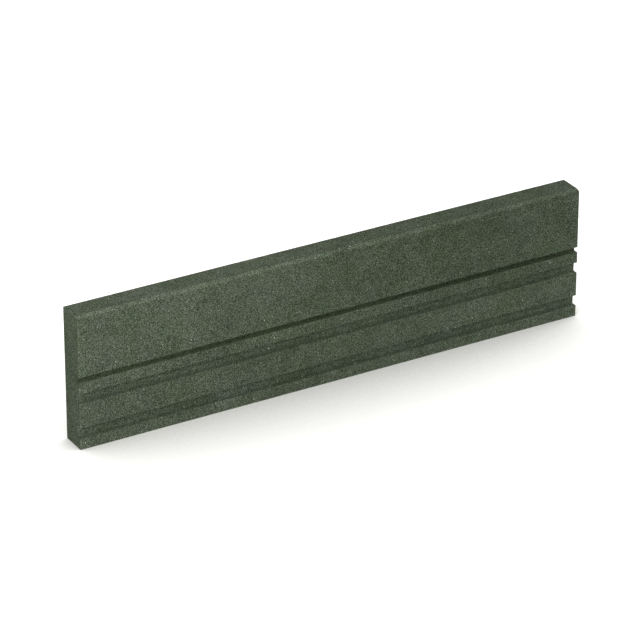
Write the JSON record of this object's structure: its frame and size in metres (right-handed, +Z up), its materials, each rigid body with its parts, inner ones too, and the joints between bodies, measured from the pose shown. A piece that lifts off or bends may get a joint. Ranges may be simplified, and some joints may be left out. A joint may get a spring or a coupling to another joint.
{
  "type": "rubber kerb",
  "caption": "Straight upright kerb of pressed rubber granulate, with a bevelled and rounded top front edge and lengthwise grooves in the lower front face that key into a concrete haunch.",
  "frame": {"origin": "the middle of the foot, the narrow face that the kerb stands on: halfway along its length and halfway through its thickness", "axes": "+X along the kerb, +Y from the grooved front face towards the flat back face, +Z up from the foot to the top face"},
  "size_m": [1, 0.05, 0.25],
  "materials": {
    "rubber_granulate": "matte"
  },
  "bodies": {
    "root": {"kerb": "rubber_granulate"}
  },
  "joints": []
}
